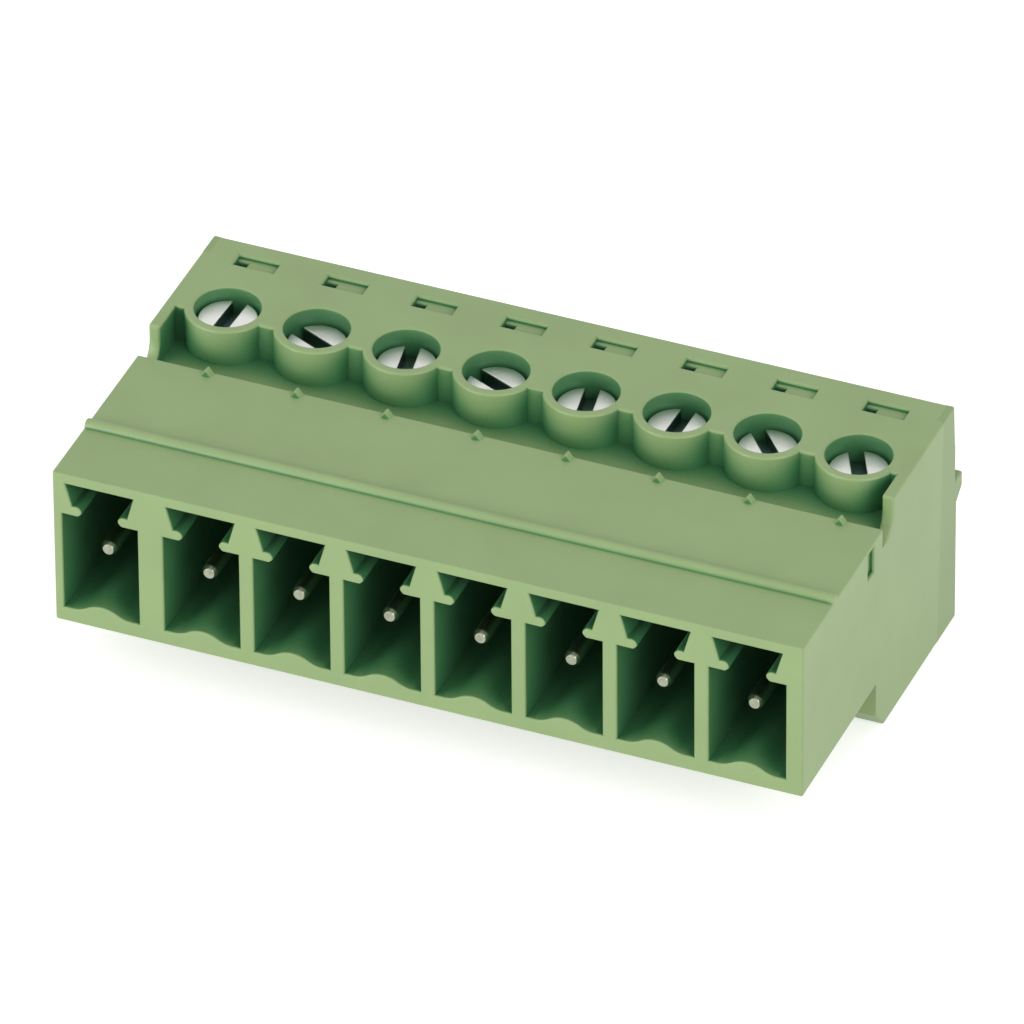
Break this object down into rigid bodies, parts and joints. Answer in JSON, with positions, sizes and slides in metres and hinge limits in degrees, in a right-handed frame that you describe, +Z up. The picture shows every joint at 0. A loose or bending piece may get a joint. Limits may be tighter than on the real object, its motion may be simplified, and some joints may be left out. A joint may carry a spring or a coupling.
{
  "type": "pluggable terminal block",
  "caption": "Pluggable screw terminal block: keyed chambers with round mating pins at the front, and rising cages that clamp wires behind them.",
  "frame": {"origin": "middle of the footprint's bounding box, on the surface that the block stands on", "axes": "+X along the row of poles, from the first pole to the last; +Y from the mating mouth to the wire side; +Z up, out of the screwdriver wells"},
  "size_m": [0.0418, 0.0228, 0.0138],
  "materials": {
    "green_nylon": "moulded nylon, olive green, satin and slightly translucent",
    "plated_screw": "steel, bright zinc plated",
    "plated_cage": "steel, dull zinc plated",
    "tinned_contact": "copper alloy, bright tin plated"
  },
  "bodies": {
    "housing": {"front_shroud": "green_nylon", "clamp_housing": "green_nylon", "wire_cover": "green_nylon", "contact_1": "tinned_contact", "contact_2": "tinned_contact", "contact_3": "tinned_contact", "contact_4": "tinned_contact", "contact_5": "tinned_contact", "contact_6": "tinned_contact", "contact_7": "tinned_contact", "contact_8": "tinned_contact"},
    "screw_1": {"clamp_screw_1": "plated_screw"},
    "cage_1": {"clamp_cage_1": "plated_cage"},
    "screw_2": {"clamp_screw_2": "plated_screw"},
    "cage_2": {"clamp_cage_2": "plated_cage"},
    "screw_3": {"clamp_screw_3": "plated_screw"},
    "cage_3": {"clamp_cage_3": "plated_cage"},
    "screw_4": {"clamp_screw_4": "plated_screw"},
    "cage_4": {"clamp_cage_4": "plated_cage"},
    "screw_5": {"clamp_screw_5": "plated_screw"},
    "cage_5": {"clamp_cage_5": "plated_cage"},
    "screw_6": {"clamp_screw_6": "plated_screw"},
    "cage_6": {"clamp_cage_6": "plated_cage"},
    "screw_7": {"clamp_screw_7": "plated_screw"},
    "cage_7": {"clamp_cage_7": "plated_cage"},
    "screw_8": {"clamp_screw_8": "plated_screw"},
    "cage_8": {"clamp_cage_8": "plated_cage"}
  },
  "joints": [
    {"name": "screw_1_turn", "type": "hinge", "parent": "housing", "child": "screw_1", "pos_m": [-0.0177, 0.00432, 0.01284], "axis": [0, 0, -1], "range_deg": [0, 1920]},
    {"name": "cage_1_lift", "type": "slide", "parent": "housing", "child": "cage_1", "axis": [0, 0, 1], "range_m": [0, 0.0024]},
    {"name": "screw_2_turn", "type": "hinge", "parent": "housing", "child": "screw_2", "pos_m": [-0.01263, 0.00432, 0.01284], "axis": [0, 0, -1], "range_deg": [0, 1920]},
    {"name": "cage_2_lift", "type": "slide", "parent": "housing", "child": "cage_2", "axis": [0, 0, 1], "range_m": [0, 0.0024]},
    {"name": "screw_3_turn", "type": "hinge", "parent": "housing", "child": "screw_3", "pos_m": [-0.00754, 0.00432, 0.01284], "axis": [0, 0, -1], "range_deg": [0, 1920]},
    {"name": "cage_3_lift", "type": "slide", "parent": "housing", "child": "cage_3", "axis": [0, 0, 1], "range_m": [0, 0.0024]},
    {"name": "screw_4_turn", "type": "hinge", "parent": "housing", "child": "screw_4", "pos_m": [-0.00247, 0.00432, 0.01284], "axis": [0, 0, -1], "range_deg": [0, 1920]},
    {"name": "cage_4_lift", "type": "slide", "parent": "housing", "child": "cage_4", "axis": [0, 0, 1], "range_m": [0, 0.0024]},
    {"name": "screw_5_turn", "type": "hinge", "parent": "housing", "child": "screw_5", "pos_m": [0.00262, 0.00432, 0.01284], "axis": [0, 0, -1], "range_deg": [0, 1920]},
    {"name": "cage_5_lift", "type": "slide", "parent": "housing", "child": "cage_5", "axis": [0, 0, 1], "range_m": [0, 0.0024]},
    {"name": "screw_6_turn", "type": "hinge", "parent": "housing", "child": "screw_6", "pos_m": [0.00769, 0.00432, 0.01284], "axis": [0, 0, -1], "range_deg": [0, 1920]},
    {"name": "cage_6_lift", "type": "slide", "parent": "housing", "child": "cage_6", "axis": [0, 0, 1], "range_m": [0, 0.0024]},
    {"name": "screw_7_turn", "type": "hinge", "parent": "housing", "child": "screw_7", "pos_m": [0.01277, 0.00432, 0.01284], "axis": [0, 0, -1], "range_deg": [0, 1920]},
    {"name": "cage_7_lift", "type": "slide", "parent": "housing", "child": "cage_7", "axis": [0, 0, 1], "range_m": [0, 0.0024]},
    {"name": "screw_8_turn", "type": "hinge", "parent": "housing", "child": "screw_8", "pos_m": [0.01785, 0.00432, 0.01284], "axis": [0, 0, -1], "range_deg": [0, 1920]},
    {"name": "cage_8_lift", "type": "slide", "parent": "housing", "child": "cage_8", "axis": [0, 0, 1], "range_m": [0, 0.0024]}
  ],
  "couplings": [
    {"joint": "screw_1_turn", "follows": "cage_1_lift", "rad_per_m": 13963},
    {"joint": "screw_2_turn", "follows": "cage_2_lift", "rad_per_m": 13963},
    {"joint": "screw_3_turn", "follows": "cage_3_lift", "rad_per_m": 13963},
    {"joint": "screw_4_turn", "follows": "cage_4_lift", "rad_per_m": 13963},
    {"joint": "screw_5_turn", "follows": "cage_5_lift", "rad_per_m": 13963},
    {"joint": "screw_6_turn", "follows": "cage_6_lift", "rad_per_m": 13963},
    {"joint": "screw_7_turn", "follows": "cage_7_lift", "rad_per_m": 13963},
    {"joint": "screw_8_turn", "follows": "cage_8_lift", "rad_per_m": 13963}
  ]
}
